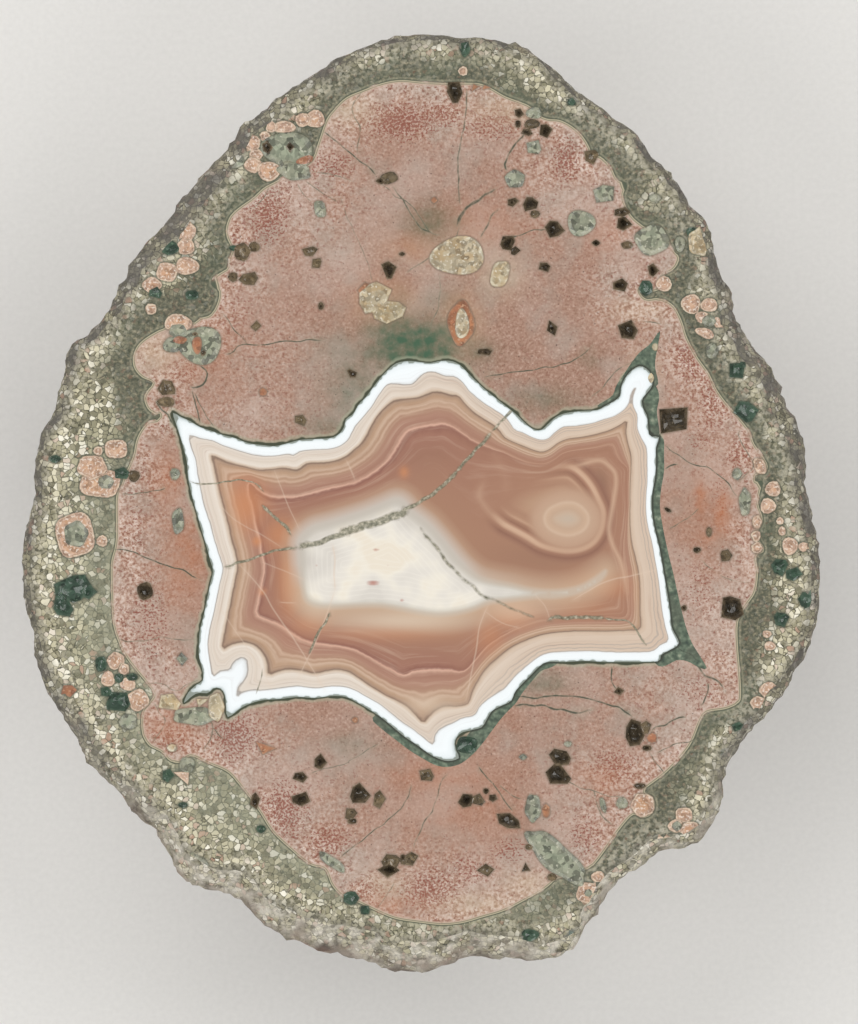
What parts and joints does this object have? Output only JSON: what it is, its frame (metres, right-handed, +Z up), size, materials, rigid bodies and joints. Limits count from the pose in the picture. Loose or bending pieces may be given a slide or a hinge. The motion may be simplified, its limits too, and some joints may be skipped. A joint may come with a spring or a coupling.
{
  "type": "agate nodule half",
  "caption": "Half of a volcanic agate nodule, sawn and polished on the cut, with a star of banded agate in pink rhyolite and a rough warty back.",
  "frame": {"origin": "under the middle of the stone's outline, at the height of the small worn flat that it rests on", "axes": "+Z up, square to the polished cut, which looks up; +Y along the long way of the cut, towards the end that is uppermost in the picture"},
  "size_m": [0.0884, 0.1042, 0.042],
  "materials": {
    "agate_nodule_stone": "polished cut, rough matt back"
  },
  "bodies": {
    "root": {"agate_nodule": "agate_nodule_stone"}
  },
  "joints": []
}
